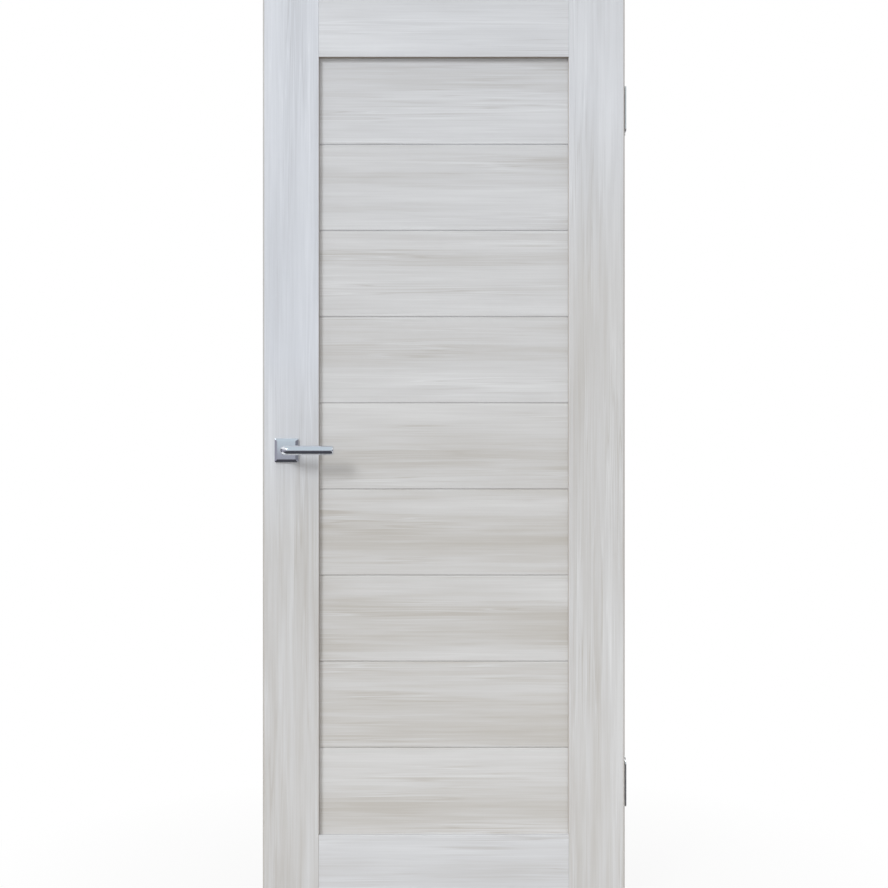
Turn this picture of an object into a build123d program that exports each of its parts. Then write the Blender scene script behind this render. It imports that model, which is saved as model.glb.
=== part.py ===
from build123d import *
import math
import os

os.makedirs("parts", exist_ok=True)

# Interior door leaf: two stiles, two rails and a recessed field of planks, all in millimetres.
# The origin is on the jamb face of the bottom hinge. +X points into the jamb, +Z is up and
# the front of the door faces -Y. The door opens towards +Y.

leaf_width = 800
leaf_height = 2000
leaf_thickness = 40
stile_width = 124
rail_height = 140
outer_round = 3
inner_round = 1.5

plank_count = 9
plank_thickness = 16
plank_bevel = 2.2
plank_gap = 0.3
shoulder_gap = 0.4
plank_tongue = 7
plank_tongue_thickness = 5
end_tongue = 11
end_tongue_thickness = 8
glue_room = 1
tongue_fit = 0.1

hinge_height = 100
hinge_from_end = 250
hinge_plate = 2.5
hinge_gap = 2.5
hinge_reach = 29
hinge_corner = 6
recess_fit = 0.2
knuckle_count = 5
knuckle_radius = 6.5
knuckle_play = 0.4
knuckle_standoff = 0.5
pin_radius = 3.5
pin_fit = 0.06
pin_cap = 3
pin_cap_round = 1.2
hinge_screw_hole = 2.5
hinge_screw_sink = 4.2
outer_screw_span = 76
inner_screw_span = 28
outer_screw_inset = 7.5
inner_screw_inset = 10

handle_height = 991
backset = 53
rose_size = 52
rose_edge = 5
rose_bevel_height = 3.5
rose_bevel_width = 6
rose_corner = 2
lever_radius = 10.5
lever_bend = 12
lever_reach = 108
lever_standoff = 50
lever_tip_round = 5
lever_fit = 0.1
neck_start = 1
spindle_side = 8
spindle_grip = 18
spindle_fit = 0.05

latch_plate = 3
latch_plate_length = 57
latch_plate_width = 25
latch_plate_corner = 5
latch_plate_screw_span = 42
latch_screw_hole = 2
latch_screw_sink = 3.8
latch_case_radius = 11.5
latch_case_wall = 1.6
latch_case_fit = 0.5
latch_case_past_spindle = 14
bolt_width = 12
bolt_height = 14
bolt_edge = 1.5
bolt_inset = 0.5
bolt_fit = 0.3
bolt_rod_radius = 4
bolt_spindle_room = 2
spindle_bore = 10

# Places worked out from the sizes above.
hinge_edge = -(hinge_plate + hinge_gap)
latch_edge = hinge_edge - leaf_width
field_right = hinge_edge - stile_width
field_left = latch_edge + stile_width
field_width = field_right - field_left
leaf_bottom = -hinge_from_end
leaf_top = leaf_bottom + leaf_height
field_bottom = leaf_bottom + rail_height
field_top = leaf_top - rail_height
plank_pitch = (field_top - field_bottom) / plank_count
face = leaf_thickness / 2
groove_depth = end_tongue + glue_room
tongue_groove_depth = plank_tongue + glue_room

pin_x = hinge_edge + hinge_gap / 2
pin_y = face + knuckle_standoff + knuckle_radius
knuckle_pitch = hinge_height / knuckle_count
barrel_end = (hinge_height - knuckle_play) / 2
hinge_levels = {"bottom": 0, "top": leaf_top - hinge_from_end}

handle_x = latch_edge + backset
handle_z = leaf_bottom + handle_height
rose_thickness = rose_edge + rose_bevel_height


def save(piece, label):
    piece.part.label = label
    export_step(piece.part, f"parts/{label}.step")


def screw_points(level):
    """Centres of a hinge plate's four screws as Y, Z pairs, staggered across the plate."""
    near = face - inner_screw_inset
    far = face - hinge_reach + outer_screw_inset
    return [
        (far, level + outer_screw_span / 2),
        (near, level + inner_screw_span / 2),
        (near, level - inner_screw_span / 2),
        (far, level - outer_screw_span / 2),
    ]


# Stiles: full-height uprights. The rounded edge at the field runs past the rails as well,
# so a fine line shows where each rail butts against a stile.
def stile_profile(outer, inner):
    towards_field = math.copysign(1, inner - outer)
    with BuildSketch(Plane.XY.offset(leaf_bottom)) as section:
        with Locations(((outer + inner) / 2, 0)):
            Rectangle(stile_width, leaf_thickness)
        corners = section.vertices().sort_by(Axis.X)
        if towards_field < 0:
            corners = corners[::-1]
        fillet(corners[0:2], outer_round)
        edge_corners = section.vertices().filter_by(lambda v: abs(v.X - inner) < inner_round / 10)
        fillet(edge_corners, inner_round)
        with Locations((inner - towards_field * groove_depth / 2, 0)):
            Rectangle(groove_depth, end_tongue_thickness, mode=Mode.SUBTRACT)
    return section.sketch


with BuildPart() as latch_stile:
    add(stile_profile(latch_edge, field_left))
    extrude(amount=leaf_height)
    # Seat of the latch plate, bore of the latch case and the hole for the spindle.
    with BuildSketch(Plane.YZ.offset(latch_edge)):
        with Locations((0, handle_z)):
            RectangleRounded(
                latch_plate_width + 2 * recess_fit,
                latch_plate_length + 2 * recess_fit,
                latch_plate_corner + recess_fit,
            )
    extrude(amount=latch_plate, mode=Mode.SUBTRACT)
    with BuildSketch(Plane.YZ.offset(latch_edge)):
        with Locations((0, handle_z)):
            Circle(latch_case_radius + latch_case_fit)
    extrude(amount=backset + latch_case_past_spindle + glue_room, mode=Mode.SUBTRACT)
    with BuildSketch(Plane.XZ):
        with Locations((handle_x, handle_z)):
            Circle(spindle_bore)
    extrude(amount=leaf_thickness, both=True, mode=Mode.SUBTRACT)
save(latch_stile, "latch_stile")

with BuildPart() as hinge_stile:
    add(stile_profile(hinge_edge, field_right))
    extrude(amount=leaf_height)
    for level in hinge_levels.values():
        with BuildSketch(Plane.YZ.offset(hinge_edge)):
            with Locations((face - hinge_reach / 2, level)):
                Rectangle(hinge_reach + 2 * recess_fit, hinge_height + 2 * recess_fit)
        extrude(amount=-hinge_plate, mode=Mode.SUBTRACT)
save(hinge_stile, "hinge_stile")


def end_tongues(low):
    """Section of the tongues at both ends of a rail or plank, which enter the stiles' grooves."""
    length = end_tongue + shoulder_gap
    middle = shoulder_gap - length / 2
    with BuildSketch(Plane.XY.offset(low)) as ends:
        with Locations((field_left + middle, 0), (field_right - middle, 0)):
            Rectangle(length, end_tongue_thickness - 2 * tongue_fit)
    return ends.sketch


# Rails: the top rail has a groove for the uppermost plank, the bottom rail a tongue.
def rail(low, label, inner_is_top):
    high = low + rail_height
    inner = high if inner_is_top else low
    with BuildPart() as cross_piece:
        with BuildSketch(Plane.YZ.offset(field_left)) as section:
            with Locations((0, (low + high) / 2)):
                Rectangle(leaf_thickness, rail_height)
            edge_corners = section.vertices().filter_by(lambda v: abs(v.Y - inner) < inner_round / 10)
            fillet(edge_corners, inner_round)
            if not inner_is_top:
                with Locations((0, inner + tongue_groove_depth / 2)):
                    Rectangle(plank_tongue_thickness, tongue_groove_depth, mode=Mode.SUBTRACT)
        extrude(amount=field_width)
        if inner_is_top:
            with BuildSketch(Plane.YZ.offset(field_left + shoulder_gap)):
                with Locations((0, inner + plank_tongue / 2)):
                    Rectangle(plank_tongue_thickness - 2 * tongue_fit, plank_tongue)
            extrude(amount=field_width - 2 * shoulder_gap)
        add(end_tongues(low))
        extrude(amount=rail_height)
    save(cross_piece, label)


rail(leaf_bottom, "bottom_rail", True)
rail(field_top, "top_rail", False)

# Planks: each has a tongue on top and a groove below. Where two planks meet, both are bevelled
# and a hairline gap is left. The outermost edges are square against the rails.
for number in range(1, plank_count + 1):
    low = field_bottom + (number - 1) * plank_pitch
    gap = plank_gap if number > 1 else 0
    with BuildPart() as plank:
        with BuildSketch(Plane.YZ.offset(field_left + shoulder_gap)) as section:
            with Locations((0, low + (plank_pitch + gap) / 2)):
                Rectangle(plank_thickness, plank_pitch - gap)
            corners = section.vertices().sort_by(Axis.Y)
            if number > 1:
                chamfer(corners[:2], plank_bevel)
            if number < plank_count:
                chamfer(corners[2:], plank_bevel)
            with Locations((0, low + plank_pitch + plank_tongue / 2)):
                Rectangle(plank_tongue_thickness - 2 * tongue_fit, plank_tongue)
            with Locations((0, low + tongue_groove_depth / 2)):
                Rectangle(plank_tongue_thickness, tongue_groove_depth, mode=Mode.SUBTRACT)
        extrude(amount=field_width - 2 * shoulder_gap)
        add(end_tongues(low + gap))
        extrude(amount=plank_pitch - gap)
    save(plank, f"plank_{number}")


# Hinges: two plates whose knuckles interleave on one pin.
def hinge_leaf(plate_low, sink_at, sink_way, knuckles, level, label):
    plate_high = plate_low + hinge_plate
    sink_depth = hinge_screw_sink - hinge_screw_hole
    with BuildPart() as leaf:
        with BuildSketch(Plane.YZ.offset(plate_low)) as outline:
            with Locations((face - hinge_reach / 2, level)):
                Rectangle(hinge_reach, hinge_height)
            fillet(outline.vertices().sort_by(Axis.X)[0:2], hinge_corner)
            with Locations(*screw_points(level)):
                Circle(hinge_screw_hole, mode=Mode.SUBTRACT)
        extrude(amount=hinge_plate)
        for point in screw_points(level):
            with BuildSketch(Plane.YZ.offset(sink_at)):
                with Locations(point):
                    Circle(hinge_screw_sink)
            extrude(amount=sink_way * sink_depth, taper=45, mode=Mode.SUBTRACT)
        for knuckle in knuckles:
            knuckle_low = level - hinge_height / 2 + knuckle * knuckle_pitch + knuckle_play / 2
            with BuildSketch(Plane.XY.offset(knuckle_low)):
                with Locations((pin_x, pin_y)):
                    Circle(knuckle_radius)
                with Locations(((plate_low + plate_high) / 2, (face + pin_y) / 2)):
                    Rectangle(hinge_plate, pin_y - face)
                with Locations((pin_x, pin_y)):
                    Circle(pin_radius + pin_fit, mode=Mode.SUBTRACT)
            extrude(amount=knuckle_pitch - knuckle_play)
    save(leaf, label)


for name, level in hinge_levels.items():
    hinge_leaf(-hinge_plate, -hinge_plate, 1, range(0, knuckle_count, 2), level, f"{name}_hinge_jamb_leaf")
    inset = hinge_edge - hinge_plate
    hinge_leaf(inset, hinge_edge, -1, range(1, knuckle_count, 2), level, f"{name}_hinge_door_leaf")
    with BuildPart() as pin:
        with BuildSketch(Plane.XY.offset(level - barrel_end)):
            with Locations((pin_x, pin_y)):
                Circle(pin_radius)
        extrude(amount=2 * barrel_end)
        for cap_low in (level - barrel_end - pin_cap, level + barrel_end):
            with BuildSketch(Plane.XY.offset(cap_low)):
                with Locations((pin_x, pin_y)):
                    Circle(knuckle_radius)
            extrude(amount=pin_cap)
        rims = pin.edges().filter_by(GeomType.CIRCLE).sort_by(Axis.Z)
        fillet([rims[0], rims[-1]], pin_cap_round)
    save(pin, f"{name}_hinge_pin")


# Lever set: rose, lever and the square spindle that joins the two levers.
def rose(side, label):
    foot = Plane.XZ.offset(-side * face)
    shoulder = Plane.XZ.offset(-side * (face + rose_edge))
    spread = math.degrees(math.atan2(rose_bevel_width, rose_bevel_height))
    with BuildPart() as plate:
        with BuildSketch(foot):
            with Locations((handle_x, handle_z)):
                RectangleRounded(rose_size, rose_size, rose_corner)
        extrude(amount=-side * rose_edge)
        with BuildSketch(shoulder):
            with Locations((handle_x, handle_z)):
                RectangleRounded(rose_size, rose_size, rose_corner)
        extrude(amount=-side * rose_bevel_height, taper=spread)
        with BuildSketch(foot):
            with Locations((handle_x, handle_z)):
                Circle(lever_radius + lever_fit)
        extrude(amount=-side * rose_thickness, mode=Mode.SUBTRACT)
    save(plate, label)


def lever(side, label):
    root = side * (face + neck_start)
    grip = side * (face + lever_standoff)
    with BuildPart() as handle:
        with BuildLine(Plane.XY.offset(handle_z)) as route:
            FilletPolyline(
                (handle_x, root), (handle_x, grip), (handle_x + lever_reach, grip), radius=lever_bend
            )
        with BuildSketch(Plane((handle_x, root, handle_z), x_dir=(1, 0, 0), z_dir=(0, side, 0))):
            Circle(lever_radius)
        sweep(path=route.wires()[0])
        fillet(handle.edges().sort_by(Axis.X)[-1], lever_tip_round)
        with BuildSketch(Plane.XZ.offset(-root)):
            with Locations((handle_x, handle_z)):
                Rectangle(spindle_side + 2 * spindle_fit, spindle_side + 2 * spindle_fit)
        extrude(amount=-side * spindle_grip, mode=Mode.SUBTRACT)
    save(handle, label)


for side, word in ((-1, "front"), (1, "back")):
    rose(side, f"{word}_rose")
    lever(side, f"{word}_lever")

with BuildPart() as spindle:
    with BuildSketch(Plane.XZ):
        with Locations((handle_x, handle_z)):
            Rectangle(spindle_side, spindle_side)
    extrude(amount=face + neck_start + spindle_grip - glue_room, both=True)
save(spindle, "spindle")

# Latch: a plate flush in the edge with a tubular case behind it, and the bolt inside.
with BuildPart() as latch_case:
    with BuildSketch(Plane.YZ.offset(latch_edge)):
        with Locations((0, handle_z)):
            RectangleRounded(latch_plate_width, latch_plate_length, latch_plate_corner)
            Rectangle(bolt_width + 2 * bolt_fit, bolt_height + 2 * bolt_fit, mode=Mode.SUBTRACT)
    extrude(amount=latch_plate)
    with BuildSketch(Plane.YZ.offset(latch_edge + latch_plate)):
        with Locations((0, handle_z)):
            Circle(latch_case_radius)
            Circle(latch_case_radius - latch_case_wall, mode=Mode.SUBTRACT)
    extrude(amount=backset + latch_case_past_spindle - latch_plate)
    with BuildSketch(Plane.XZ):
        with Locations((handle_x, handle_z)):
            Circle(spindle_side)
    extrude(amount=leaf_thickness, both=True, mode=Mode.SUBTRACT)
    for way in (-1, 1):
        with BuildSketch(Plane.YZ.offset(latch_edge)):
            with Locations((0, handle_z + way * latch_plate_screw_span / 2)):
                Circle(latch_screw_hole)
        extrude(amount=latch_plate, mode=Mode.SUBTRACT)
        with BuildSketch(Plane.YZ.offset(latch_edge)):
            with Locations((0, handle_z + way * latch_plate_screw_span / 2)):
                Circle(latch_screw_sink)
        extrude(amount=latch_screw_sink - latch_screw_hole, taper=45, mode=Mode.SUBTRACT)
save(latch_case, "latch_case")

# The bolt of a magnetic latch lies flush in the plate until a strike plate draws it out.
bolt_tail = handle_x - spindle_side - bolt_spindle_room
bolt_shoulder = (latch_edge + bolt_tail) / 2
with BuildPart() as latch_bolt:
    with BuildSketch(Plane.YZ.offset(latch_edge + bolt_inset)):
        with Locations((0, handle_z)):
            Rectangle(bolt_width, bolt_height)
    extrude(amount=bolt_shoulder - latch_edge - bolt_inset)
    chamfer(latch_bolt.faces().sort_by(Axis.X)[0].edges(), bolt_edge)
    with BuildSketch(Plane.YZ.offset(bolt_shoulder)):
        with Locations((0, handle_z)):
            Circle(bolt_rod_radius)
    extrude(amount=bolt_tail - bolt_shoulder)
save(latch_bolt, "latch_bolt")
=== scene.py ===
import math

import bmesh
import bpy
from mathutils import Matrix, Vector


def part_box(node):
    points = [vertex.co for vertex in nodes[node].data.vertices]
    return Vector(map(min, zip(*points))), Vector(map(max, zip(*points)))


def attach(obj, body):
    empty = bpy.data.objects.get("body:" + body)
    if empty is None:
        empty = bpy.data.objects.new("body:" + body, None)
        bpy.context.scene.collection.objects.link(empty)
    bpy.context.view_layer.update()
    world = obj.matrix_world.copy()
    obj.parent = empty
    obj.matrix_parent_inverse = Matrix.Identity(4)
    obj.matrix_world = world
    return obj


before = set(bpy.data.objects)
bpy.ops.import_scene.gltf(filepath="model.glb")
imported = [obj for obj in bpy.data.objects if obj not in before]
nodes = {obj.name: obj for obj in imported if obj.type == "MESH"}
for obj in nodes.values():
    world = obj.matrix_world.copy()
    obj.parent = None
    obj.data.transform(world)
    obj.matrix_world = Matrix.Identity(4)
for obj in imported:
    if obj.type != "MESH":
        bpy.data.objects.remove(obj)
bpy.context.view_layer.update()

# Photograph: the leaf's edges and the field's edges in a frame of 888 by 888 pixels.
IMAGE_SIDE = 888
LEAF_LEFT_PX = 262.7
LEAF_RIGHT_PX = 624.8
FIELD_TOP_PX = 57.15
FIELD_BOTTOM_PX = 835.3

# Veneer and core colours as they look, in 8-bit sRGB. The veneers go from dark to pale grain.
WARM_VENEER = ((189, 185, 179), (205, 204, 203), (218, 218, 218))
# The cool colours are the warm veneer under painted cool light.
PAINTED_COOL_LIGHT_VENEER = ((194, 197, 204), (209, 213, 221), (222, 226, 234))
VENEER_STOPS = (0.26, 0.52, 0.78)
# The lipping colour is a darker edge band that also stands for painted shade on the rounded arris.
LIPPING_AND_EDGE_SHADE = (176, 171, 164)
# The reveal colours are painted shade on the faces that look into the field.
STILE_REVEAL_SHADE = (206, 200, 193)
RAIL_REVEAL_SHADE = (150, 140, 129)
CORE_BOARD = (158, 142, 122)
CORE_PINE = (196, 182, 158)

# Grain: waves per metre along and across it, detail, roughness, distortion and weight.
GRAIN = {
    "broad": (1.3, 13, 3, 0.5, 0.3, 0.56),
    "band": (2.3, 40, 3, 0.5, 0.5, 0.38),
    "streak": (4.2, 160, 3, 0.55, 0.3, 0.32),
    "fine": (6, 460, 2, 0.6, 0.0, 0.17),
}
PORES = (26, 1500, 1500)
BOARD_STEP = (3.7, 1.3)
HEART_WAVES = (1.7, 3, 3)
HEART_WANDER = 0.45
HEART_SHIFT = 0.22
HEART_REACH = 0.34
HEART_ROUNDING = 0.2

# Hairlines: level in their noise, strength, and how much of the board they leave bare.
HAIRLINES = ((0.44, -0.21, 2.9), (0.57, 0.16, 2.7))
HAIRLINE_WAVES = (2.4, 120, 120)
HAIRLINE_WIDTH = 0.045
PATCH_WAVES = (2.2, 24, 24)
PATCH_EDGE = 6

# Finish of the veneer: gloss, its change along the streaks and on the bare ends, and pore depth.
VENEER_ROUGHNESS = 0.46
STREAK_ROUGHNESS = 0.18
BARE_ROUGHNESS = 0.3
VENEER_SPECULAR = 0.28
PORE_BUMP = 0.22
PORE_DEPTH = 0.0004

# Edges of the veneer, in metres: a darker lipping round a stile's edge, partly painted shade of its
# rounded arris, reveals to the field darkened as painted shade, bare ends.
LIPPING_SHADE_START = 0.0045
LIPPING_SHADE_FADE = 0.0025
LIPPING_SHADE_SHARE = 0.7
REVEAL_SHADE_DEPTH = 0.0003
END_DEPTH = 0.0004
SKIN_INSIDE = 0.0155
CORE_STRIP = 0.045
STRIP_STEP = 0.37
STRIP_SHARE = 0.3
RING_WAVES = (420, 90, 1)

# Tone lightens a board, heart browns it along heart_at, a share of its width, and the cool share
# tints it blue as painted cool light from above. A stile changes between two heights: above them it
# carries that painted cool light, below them painted shade darkens it by a drop and its blue is less.
BOARDS = {
    "latch_stile": {
        "tone": 0.51, "heart": 0.14, "heart_at": 0.58, "painted_cool_light": 1.0,
        "painted_light_heights": (0.55, 0.95), "painted_cool_light_below": 0.25, "painted_shade_drop": 0.10,
    },
    "hinge_stile": {
        "tone": 0.515, "heart": 0.18, "heart_at": 0.58, "painted_cool_light": 0.7,
        "painted_light_heights": (1.10, 1.50), "painted_cool_light_below": 0.2, "painted_shade_drop": 0.05,
    },
    "bottom_rail": {"tone": 0.48, "heart": 0.20, "heart_at": 0.58, "painted_cool_light": 0.4},
    "top_rail": {"tone": 0.52, "heart": 0.20, "heart_at": 0.58, "painted_cool_light": 0.6},
    "plank_1": {"tone": 0.39, "heart": 0.36, "heart_at": 0.30, "painted_cool_light": 0.1},
    "plank_2": {"tone": 0.35, "heart": 0.36, "heart_at": 0.30, "painted_cool_light": 0.1},
    "plank_3": {"tone": 0.39, "heart": 0.27, "heart_at": 0.30, "painted_cool_light": 0.1},
    "plank_4": {"tone": 0.39, "heart": 0.27, "heart_at": 0.30, "painted_cool_light": 0.1},
    "plank_5": {"tone": 0.40, "heart": 0.36, "heart_at": 0.30, "painted_cool_light": 0.15},
    "plank_6": {"tone": 0.45, "heart": 0.36, "heart_at": 0.70, "painted_cool_light": 0.25},
    "plank_7": {"tone": 0.45, "heart": 0.36, "heart_at": 0.70, "painted_cool_light": 0.3},
    "plank_8": {"tone": 0.475, "heart": 0.36, "heart_at": 0.70, "painted_cool_light": 0.4},
    "plank_9": {"tone": 0.475, "heart": 0.36, "heart_at": 0.70, "painted_cool_light": 0.5},
}
STILES = ("latch_stile", "hinge_stile")

# Fasteners, in metres. A hinge screw's place is its distance from the leaf's middle and its height.
HINGE_SCREWS = ((-0.0015, 0.038), (0.010, 0.014), (0.010, -0.014), (-0.0015, -0.038))
HINGE_SCREW_SIZE = (0.0040, 0.0023, 0.0024)
LATCH_SCREW_SIZE = (0.0036, 0.0018, 0.0028)
LATCH_SCREW_SPAN = 0.042
SCREW_RIM = 0.0001
SCREW_LIP = 0.0003
CROSS_ARM = 0.56
CROSS_HALF_WIDTH = 0.14
CROSS_DEPTH = 0.34
RECESS_TAPER = 0.62
GRUB_RADIUS = 0.0026
GRUB_SOCKET = 0.0014
GRUB_SOCKET_DEPTH = 0.0013
GRUB_FROM_FACE = 0.0145
GRUB_PROFILE = ((GRUB_RADIUS - 0.0003, 0.0001), (GRUB_RADIUS, -0.0001), (GRUB_RADIUS, -0.0016))

# Stage, in metres: the camera, the floor and the cards that only glossy rays see.
CAMERA_DISTANCE = 3.0
SENSOR_MM = 36
FLOOR_GAP = 0.010
FLOOR_SIDE = 240
FLOOR_GLOW_NEAR = 0.84
FLOOR_GLOW_REACH = 1.2
CARD_DISTANCE = 4.7
CARD_WIDTH = 8.0
CARD_HORIZON = 0.72
CARD_TOP = 5.4
SIDE_CARD_HEIGHT = 1.9
SIDE_CARD_LEVEL = 0.55
WHITE = (1, 1, 1, 1)
AMBIENT = (0.628, 0.610, 0.592, 1)

# The leaf's own box, from its stiles.
leaf_low = Vector(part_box("latch_stile")[0])
leaf_high = Vector(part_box("hinge_stile")[1])
leaf_middle = (leaf_low + leaf_high) / 2
half_width = (leaf_high.x - leaf_low.x) / 2
half_height = (leaf_high.z - leaf_low.z) / 2
floor_z = leaf_low.z - FLOOR_GAP
metres_per_px = (leaf_high.x - leaf_low.x) / (LEAF_RIGHT_PX - LEAF_LEFT_PX)


def linear(colour):
    """An 8-bit sRGB colour as linear RGBA."""
    channels = [value / 255 for value in colour]
    curve = [c / 12.92 if c <= 0.04045 else ((c + 0.055) / 1.055) ** 2.4 for c in channels]
    return (*curve, 1.0)


class Shader:
    """A material's node tree, with short calls to add nodes and join them."""

    def __init__(self, name):
        self.material = bpy.data.materials.new(name)
        self.material.use_nodes = True
        self.tree = self.material.node_tree
        self.principled = self.tree.nodes["Principled BSDF"]

    def add(self, kind, **settings):
        node = self.tree.nodes.new(kind)
        for key, value in settings.items():
            setattr(node, key, value)
        return node

    def link(self, source, target):
        self.tree.links.new(source, target)

    def set(self, **values):
        """Constants on the shader's own sockets, with underscores for the spaces in their names."""
        for key, value in values.items():
            self.principled.inputs[key.replace("_", " ")].default_value = value

    def place(self):
        """Object coordinates, split into X, Y and Z."""
        split = self.add("ShaderNodeSeparateXYZ")
        self.link(self.add("ShaderNodeTexCoord").outputs["Object"], split.inputs[0])
        return split.outputs

    def math(self, operation, *values, clamp=False):
        node = self.add("ShaderNodeMath", operation=operation, use_clamp=clamp)
        for socket, value in zip(node.inputs, values):
            if isinstance(value, (int, float)):
                socket.default_value = value
            else:
                self.link(value, socket)
        return node.outputs[0]

    def off(self, value, middle):
        """Distance of a value from a middle."""
        return self.math("ABSOLUTE", self.math("SUBTRACT", value, middle))

    def rise(self, value, start, end, clamp=False):
        """A value's share of the way from start to end."""
        return self.math("MULTIPLY_ADD", value, 1 / (end - start), -start / (end - start), clamp=clamp)

    def noise(self, vector, scale, detail, roughness=0.5, distortion=0.0):
        """Noise stretched by a scale for each axis."""
        stretch = self.add("ShaderNodeVectorMath", operation="MULTIPLY")
        self.link(vector, stretch.inputs[0])
        stretch.inputs[1].default_value = scale
        node = self.add("ShaderNodeTexNoise")
        node.inputs["Scale"].default_value = 1.0
        node.inputs["Detail"].default_value = detail
        node.inputs["Roughness"].default_value = roughness
        node.inputs["Distortion"].default_value = distortion
        self.link(stretch.outputs["Vector"], node.inputs["Vector"])
        return node.outputs["Fac"]

    def ramp(self, value, stops):
        node = self.add("ShaderNodeValToRGB")
        elements = node.color_ramp.elements
        while len(elements) < len(stops):
            elements.new(0.5)
        for element, (position, colour) in zip(elements, stops):
            element.position = position
            element.color = colour
        self.link(value, node.inputs["Fac"])
        return node.outputs["Color"]

    def mix(self, share, first, second):
        node = self.add("ShaderNodeMix", data_type="RGBA")
        self.link(share, node.inputs["Factor"])
        for socket, value in zip(node.inputs[6:8], (first, second)):
            if isinstance(value, tuple):
                socket.default_value = value
            else:
                self.link(value, socket)
        return node.outputs[2]


def veneer_stops(painted_cool_light):
    """Ramp stops from the warm veneer colours towards the cool ones, which are painted cool light."""
    pairs = [zip(linear(warm), linear(cool_lit)) for warm, cool_lit in zip(WARM_VENEER, PAINTED_COOL_LIGHT_VENEER)]
    colours = [tuple(w + (c - w) * painted_cool_light for w, c in pair) for pair in pairs]
    return list(zip(VENEER_STOPS, colours))


def bare_core(shader, place):
    """Colour of the leaf's bare ends: board skins over a core of pine strips with end grain."""
    skin = shader.math("GREATER_THAN", shader.math("ABSOLUTE", place["Y"]), SKIN_INSIDE)
    strip = shader.math("FLOOR", shader.math("MULTIPLY", place["X"], 1 / CORE_STRIP))
    shade = shader.add("ShaderNodeTexWhiteNoise", noise_dimensions="1D")
    shader.link(strip, shade.inputs["W"])
    end_grain = shader.add("ShaderNodeCombineXYZ")
    shader.link(shader.math("MULTIPLY_ADD", strip, STRIP_STEP, place["X"]), end_grain.inputs["X"])
    shader.link(place["Y"], end_grain.inputs["Y"])
    rings = shader.noise(end_grain.outputs[0], RING_WAVES, 2, 0.5, 0.5)
    rings = shader.math("MULTIPLY", rings, 1 - STRIP_SHARE)
    tone = shader.math("MULTIPLY_ADD", shade.outputs["Value"], STRIP_SHARE, rings)
    pine = shader.ramp(tone, [(0.28, linear(CORE_BOARD)), (0.72, linear(CORE_PINE))])
    return shader.mix(skin, pine, linear(CORE_BOARD))


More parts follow.
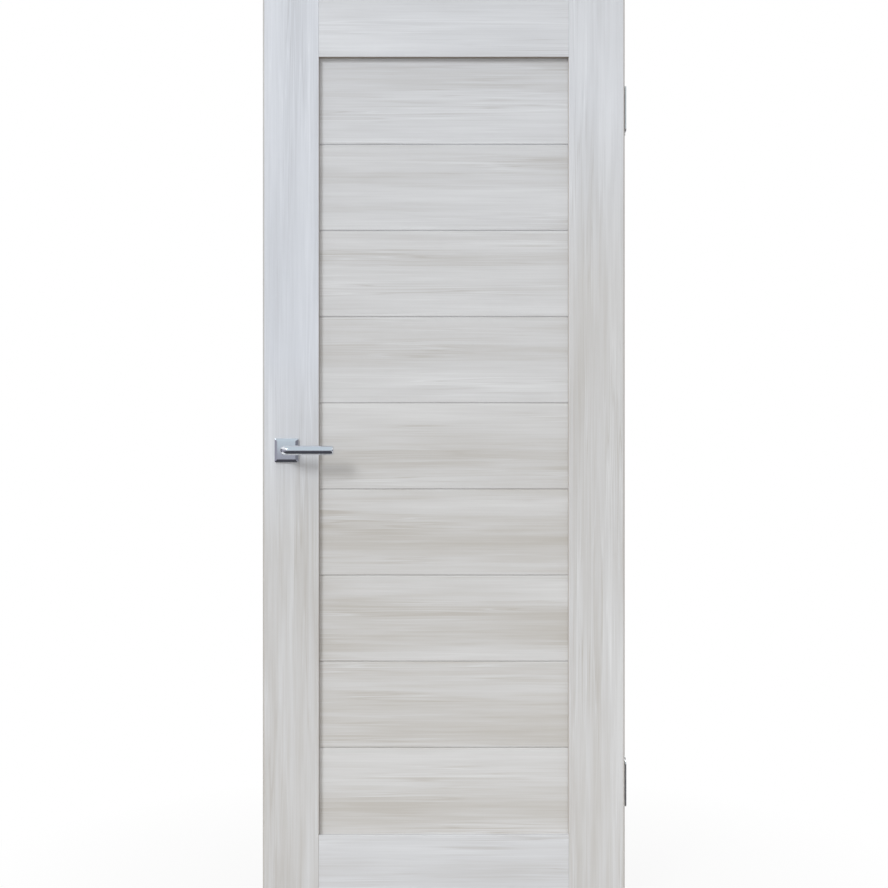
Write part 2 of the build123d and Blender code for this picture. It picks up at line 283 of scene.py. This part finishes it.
def veneer(node, seed, board):
    """Bleached wood print: wandering bands, streaks, hairlines and fine pores along the grain."""
    shader = Shader(f"veneer_{node}")
    place = shader.place()
    low, high = (Vector(corner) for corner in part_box(node))
    along, across = ("Z", "X") if node in STILES else ("X", "Z")
    start, end = (low.x, high.x) if node in STILES else (low.z, high.z)
    turned = shader.add("ShaderNodeCombineXYZ")
    shader.link(shader.math("ADD", place[along], seed * BOARD_STEP[0]), turned.inputs["X"])
    shader.link(shader.math("ADD", place[across], seed * BOARD_STEP[1]), turned.inputs["Y"])
    shader.link(place["Y"], turned.inputs["Z"])
    grain = turned.outputs[0]

    # A browner heart runs along the board and wanders a little.
    wander = shader.noise(grain, HEART_WAVES, 2)
    share = shader.math("SUBTRACT", shader.rise(place[across], start, end), HEART_SHIFT)
    share = shader.math("MULTIPLY_ADD", wander, HEART_WANDER, share)
    off_heart = shader.off(share, board["heart_at"])
    heart = shader.math("SMOOTH_MIN", off_heart, HEART_REACH, HEART_ROUNDING)
    total = shader.math("MULTIPLY_ADD", heart, board["heart"], board["tone"])

    layers = {}
    for name, (length, width, detail, roughness, distortion, weight) in GRAIN.items():
        layers[name] = shader.noise(grain, (length, width, width), detail, roughness, distortion)
        change = shader.math("MULTIPLY", shader.math("SUBTRACT", layers[name], 0.5), weight)
        total = shader.math("ADD", total, change)

    # Hairlines, dark and pale, follow one level of a long noise and come and go in patches.
    contour = shader.noise(grain, HAIRLINE_WAVES, 1, 0.4, 0.3)
    patches = shader.noise(grain, PATCH_WAVES, 2)
    for level, strength, bare_share in HAIRLINES:
        off_contour = shader.off(contour, level)
        line = shader.math("MULTIPLY_ADD", off_contour, -1 / HAIRLINE_WIDTH, 1, clamp=True)
        patch = shader.math("MULTIPLY_ADD", patches, PATCH_EDGE, -bare_share, clamp=True)
        total = shader.math("MULTIPLY_ADD", shader.math("MULTIPLY", line, patch), strength, total)
    colour = shader.ramp(total, veneer_stops(board["painted_cool_light"]))
    # Painted light on the stiles: painted cool light above two heights, painted shade below them.
    if "painted_light_heights" in board:
        height = shader.rise(place["Z"], *board["painted_light_heights"], clamp=True)
        lower = shader.math("SUBTRACT", total, board["painted_shade_drop"])
        colour = shader.mix(height, shader.ramp(lower, veneer_stops(board["painted_cool_light_below"])), colour)

    # The faces that look into the field are darker as painted shade, but for the bottom rail's.
    if node in STILES:
        off_side = shader.off(place["X"], leaf_middle.x)
        inner = min(abs(low.x - leaf_middle.x), abs(high.x - leaf_middle.x))
        # The darker lipping band on the stile's outer edge is partly painted shade of its rounded arris.
        lipping_shade_at = half_width - LIPPING_SHADE_START
        lipping_and_shade = shader.rise(off_side, lipping_shade_at, lipping_shade_at + LIPPING_SHADE_FADE, clamp=True)
        colour = shader.mix(shader.math("MULTIPLY", lipping_and_shade, LIPPING_SHADE_SHARE), colour, linear(LIPPING_AND_EDGE_SHADE))
        reveal_shade = shader.math("LESS_THAN", off_side, inner + REVEAL_SHADE_DEPTH)
        colour = shader.mix(reveal_shade, colour, linear(STILE_REVEAL_SHADE))
    elif node == "top_rail":
        reveal_shade = shader.math("LESS_THAN", place["Z"], low.z + REVEAL_SHADE_DEPTH)
        colour = shader.mix(reveal_shade, colour, linear(RAIL_REVEAL_SHADE))

    off_middle = shader.off(place["Z"], leaf_middle.z)
    bare = shader.math("GREATER_THAN", off_middle, half_height - END_DEPTH)
    colour = shader.mix(bare, colour, bare_core(shader, place))
    shader.link(colour, shader.principled.inputs["Base Color"])

    rough = shader.math("MULTIPLY_ADD", layers["streak"], STREAK_ROUGHNESS, VENEER_ROUGHNESS)
    rough = shader.math("MULTIPLY_ADD", bare, BARE_ROUGHNESS, rough)
    shader.link(rough, shader.principled.inputs["Roughness"])
    shader.set(Specular_IOR_Level=VENEER_SPECULAR)
    bump = shader.add("ShaderNodeBump")
    bump.inputs["Strength"].default_value = PORE_BUMP
    bump.inputs["Distance"].default_value = PORE_DEPTH
    pores = shader.noise(grain, PORES, 2)
    shader.link(shader.math("ADD", pores, layers["streak"]), bump.inputs["Height"])
    shader.link(bump.outputs[0], shader.principled.inputs["Normal"])
    return shader.material


def metal(name, colour, roughness, spread, lines):
    """Polished or brushed metal whose gloss varies along fine lines."""
    shader = Shader(name)
    shader.set(Metallic=1.0, Base_Color=colour)
    grain = shader.noise(shader.add("ShaderNodeTexCoord").outputs["Object"], lines, 3)
    rough = shader.math("MULTIPLY_ADD", grain, spread, roughness)
    shader.link(rough, shader.principled.inputs["Roughness"])
    return shader.material


def dress(node, material):
    slots = nodes[node].data.materials
    slots.clear()
    slots.append(material)


for seed, (name, board) in enumerate(BOARDS.items(), start=1):
    dress(name, veneer(name, seed, board))

chrome = metal("polished_chrome", (0.77, 0.80, 0.85, 1), 0.05, 0.03, (120, 120, 120))
steel = metal("brushed_steel", (0.82, 0.82, 0.81, 1), 0.28, 0.14, (90, 90, 2500))
for name in nodes:
    if name.endswith(("_rose", "_lever")):
        dress(name, chrome)
    elif name not in BOARDS:
        dress(name, steel)


# Fasteners: countersunk screws with a cross recess and socket grub screws.
def ring(radius, height, count=32):
    angles = [2 * math.pi * step / count for step in range(count)]
    return [Vector((radius * math.cos(a), radius * math.sin(a), height)) for a in angles]


def cross(arm, half_width):
    corner = [(arm, -half_width), (arm, half_width), (half_width, half_width)]
    turns = ((1, 0), (0, 1), (-1, 0), (0, -1))
    return [Vector((x * c - y * s, x * s + y * c, 0)) for c, s in turns for x, y in corner]


def fastener(name, place, facing, profile, recess, depth, body):
    """A turned head of (radius, height) rings from its rim down, with a recess cut into its face."""
    mesh = bmesh.new()
    top = Vector((0, 0, profile[0][1]))
    bottom = Vector((0, 0, profile[0][1] - depth))
    loops = [[mesh.verts.new(point) for point in ring(*step)] for step in profile]
    mouth = [mesh.verts.new(point + top) for point in recess]
    floor = [mesh.verts.new(point * RECESS_TAPER + bottom) for point in recess]
    for upper, lower in list(zip(loops, loops[1:])) + [(mouth, floor)]:
        for index in range(len(upper)):
            after = (index + 1) % len(upper)
            mesh.faces.new((upper[index], upper[after], lower[after], lower[index]))
    mesh.faces.new(loops[-1])
    mesh.faces.new(floor)
    rim = [edge for edge in mesh.edges if all(v in loops[0] for v in edge.verts)]
    rim += [edge for edge in mesh.edges if all(v in mouth for v in edge.verts)]
    bmesh.ops.triangle_fill(mesh, use_beauty=True, edges=rim)
    bmesh.ops.recalc_face_normals(mesh, faces=mesh.faces)
    turn = Vector(facing).to_track_quat("Z", "Y").to_matrix().to_4x4()
    turn.translation = place
    mesh.transform(turn)
    data = bpy.data.meshes.new(name)
    mesh.to_mesh(data)
    mesh.free()
    data.materials.append(steel)
    piece = bpy.data.objects.new(name, data)
    bpy.context.scene.collection.objects.link(piece)
    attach(piece, body)


def screw(name, place, facing, size):
    """A countersunk screw of a given head radius, shank radius and length."""
    head, shank, length = size
    profile = [
        (head - SCREW_RIM, -SCREW_RIM),
        (head, -SCREW_LIP),
        (shank, -SCREW_LIP - head + shank),
        (shank, -length),
    ]
    recess = cross(head * CROSS_ARM, head * CROSS_HALF_WIDTH)
    fastener(name, place, facing, profile, recess, head * CROSS_DEPTH, "leaf")


for end in ("bottom", "top"):
    low, high = (Vector(corner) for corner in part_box(f"{end}_hinge_door_leaf"))
    level = (low.z + high.z) / 2
    for number, (y, z) in enumerate(HINGE_SCREWS, start=1):
        place = Vector((leaf_high.x, y, level + z))
        screw(f"{end}_hinge_screw_{number}", place, (1, 0, 0), HINGE_SCREW_SIZE)

low, high = (Vector(corner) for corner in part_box("latch_case"))
for number, way in enumerate((-1, 1), start=1):
    place = Vector((low.x, 0, (low.z + high.z) / 2 + way * LATCH_SCREW_SPAN / 2))
    screw(f"latch_screw_{number}", place, (-1, 0, 0), LATCH_SCREW_SIZE)

for word, side in (("front", -1), ("back", 1)):
    low, high = (Vector(corner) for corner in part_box(f"{word}_lever"))
    neck = (high.z - low.z) / 2
    place = Vector((low.x + neck, side * (leaf_high.y + GRUB_FROM_FACE), low.z))
    socket = ring(GRUB_SOCKET, 0, 6)
    fastener(
        f"{word}_grub_screw", place, (0, 0, -1), GRUB_PROFILE, socket, GRUB_SOCKET_DEPTH,
        "lever_set",
    )


# Stage: a pale floor, cards that only glossy rays see, a white background and soft light.
def plane(name, middle, size, normal, material):
    mesh = bpy.data.meshes.new(name)
    corners = [(-1, -1), (1, -1), (1, 1), (-1, 1)]
    turn = Vector(normal).to_track_quat("Z", "Y").to_matrix()
    width, height = size
    points = [Vector(middle) + turn @ Vector((x * width / 2, y * height / 2, 0)) for x, y in corners]
    mesh.from_pydata(points, [], [(0, 1, 2, 3)])
    mesh.materials.append(material)
    obj = bpy.data.objects.new(name, mesh)
    bpy.context.scene.collection.objects.link(obj)
    return obj


def looked_at(tree):
    """One for the rays of the eye, a mirror or glass, and nothing for light that falls on the object."""
    paths = tree.nodes.new("ShaderNodeLightPath").outputs
    total = paths["Is Camera Ray"]
    for name in ("Is Glossy Ray", "Is Transmission Ray"):
        both = tree.nodes.new("ShaderNodeMath")
        both.operation = "MAXIMUM"
        tree.links.new(total, both.inputs[0])
        tree.links.new(paths[name], both.inputs[1])
        total = both.outputs[0]
    return total


def floor_material():
    """White seen from afar; near the leaf's foot more of the real floor shows, with its shadows."""
    shader = Shader("pale_floor")
    shader.set(Base_Color=(0.42, 0.41, 0.40, 1), Roughness=0.9, Specular_IOR_Level=0.1)
    place = shader.place()
    x = shader.math("SUBTRACT", place["X"], leaf_middle.x)
    squares = shader.math("ADD", shader.math("POWER", x, 2), shader.math("POWER", place["Y"], 2))
    reach = shader.math("SQRT", squares)
    slope = (1 - FLOOR_GLOW_NEAR) / FLOOR_GLOW_REACH
    share = shader.math("MULTIPLY_ADD", reach, slope, FLOOR_GLOW_NEAR, clamp=True)
    glow = shader.add("ShaderNodeEmission")
    glow.inputs["Color"].default_value = WHITE
    mix = shader.add("ShaderNodeMixShader")
    shader.link(shader.math("MULTIPLY", share, looked_at(shader.tree)), mix.inputs["Fac"])
    shader.link(shader.principled.outputs[0], mix.inputs[1])
    shader.link(glow.outputs[0], mix.inputs[2])
    shader.link(mix.outputs[0], shader.tree.nodes["Material Output"].inputs["Surface"])
    return shader.material


def card_material(name, colour):
    shader = Shader(name)
    shader.set(
        Base_Color=(0, 0, 0, 1), Specular_IOR_Level=0,
        Emission_Color=colour, Emission_Strength=1,
    )
    return shader.material


plane("floor", (leaf_middle.x, 0, floor_z), (FLOOR_SIDE, FLOOR_SIDE), (0, 0, 1), floor_material())

# Cards for each side of the door: dark on the floor, a shade beyond the hinges, grey beyond the
# latch and ahead up to a horizon, pale above it and overhead. Each has a name, a material, a place
# from the leaf's middle, a size and a facing.
dark = card_material("dark_card", (0.07, 0.07, 0.08, 1))
shade = card_material("shade_card", (0.22, 0.22, 0.25, 1))
grey = card_material("grey_card", (0.37, 0.36, 0.41, 1))
pale = card_material("pale_card", (0.65, 0.72, 0.76, 1))
below_horizon = CARD_HORIZON - floor_z
above_horizon = CARD_TOP - CARD_HORIZON
for side, word in ((-1, "front"), (1, "back")):
    ahead = side * CARD_DISTANCE
    toward = (0, -side, 0)
    cards = (
        ("low", dark, (side * 0.85, side * 2.25, floor_z + 0.02), (3.5, 4.4), (0, 0, 1)),
        ("side", shade, (-side * 2.3, side * 1.75, SIDE_CARD_LEVEL), (2.9, SIDE_CARD_HEIGHT), (side, 0, 0)),
        ("end", grey, (side * 2.6, side * 1.2, SIDE_CARD_LEVEL), (4.2, SIDE_CARD_HEIGHT), (-side, 0, 0)),
        ("ahead", grey, (0, ahead, (floor_z + CARD_HORIZON) / 2), (CARD_WIDTH, below_horizon), toward),
        ("above", pale, (0, ahead, (CARD_TOP + CARD_HORIZON) / 2), (CARD_WIDTH, above_horizon), toward),
        ("overhead", pale, (0, ahead / 2, CARD_TOP), (CARD_WIDTH, CARD_DISTANCE), (0, 0, -1)),
    )
    for name, material, (x, y, z), size, normal in cards:
        card = plane(f"card_{word}_{name}", (leaf_middle.x + x, y, z), size, normal, material)
        card.visible_camera = False
        card.visible_diffuse = False
        card.visible_shadow = False

world = bpy.data.worlds.new("studio")
bpy.context.scene.world = world
world.use_nodes = True
tree = world.node_tree
pick = tree.nodes.new("ShaderNodeMix")
pick.data_type = "RGBA"
tree.links.new(looked_at(tree), pick.inputs["Factor"])
pick.inputs[6].default_value = AMBIENT
pick.inputs[7].default_value = WHITE
tree.links.new(pick.outputs[2], tree.nodes["Background"].inputs["Color"])


def lamp(name, kind, place, target, glossy=True, **settings):
    light = bpy.data.lights.new(name, kind)
    for key, value in settings.items():
        setattr(light, key, value)
    obj = bpy.data.objects.new(name, light)
    obj.location = place
    obj.rotation_euler = (Vector(target) - Vector(place)).to_track_quat("-Z", "Y").to_euler()
    obj.visible_glossy = glossy
    bpy.context.scene.collection.objects.link(obj)


KEY = {"color": (0.97, 0.99, 1.0), "angle": math.radians(20)}
lamp("key_front", "SUN", leaf_middle + Vector((-2.7, -4.0, 2.9)), leaf_middle, energy=1.45, **KEY)
lamp("key_back", "SUN", leaf_middle + Vector((0.8, 4.0, 2.7)), leaf_middle, energy=1.3, **KEY)
lamp(
    "overhead", "SUN", leaf_middle + Vector((0, 0, 4)), leaf_middle, glossy=False,
    color=(0.90, 0.97, 1.0), energy=0.9, angle=math.radians(80),
)
lamp(
    "foot_fill", "AREA", (leaf_middle.x, -0.7, leaf_low.z + 0.15),
    (leaf_middle.x, 0, leaf_low.z + 0.05), glossy=False,
    color=(1.0, 1.0, 1.0), energy=1.25, shape="RECTANGLE", size=2.2, size_y=0.2,
)

# Camera: level, square on to the leaf, framed by the leaf's edges in the photograph.
data = bpy.data.cameras.new("camera")
data.sensor_width = SENSOR_MM
data.lens = SENSOR_MM * CAMERA_DISTANCE / (IMAGE_SIDE * metres_per_px)
camera = bpy.data.objects.new("camera", data)
right_of_leaf = IMAGE_SIDE / 2 - (LEAF_LEFT_PX + LEAF_RIGHT_PX) / 2
above_leaf = (FIELD_TOP_PX + FIELD_BOTTOM_PX) / 2 - IMAGE_SIDE / 2
camera.location = (
    leaf_middle.x + right_of_leaf * metres_per_px,
    leaf_low.y - CAMERA_DISTANCE,
    leaf_middle.z + above_leaf * metres_per_px,
)
camera.rotation_euler = (math.radians(90), 0, 0)
bpy.context.scene.collection.objects.link(camera)
bpy.context.scene.camera = camera
bpy.context.scene.view_settings.view_transform = "Standard"
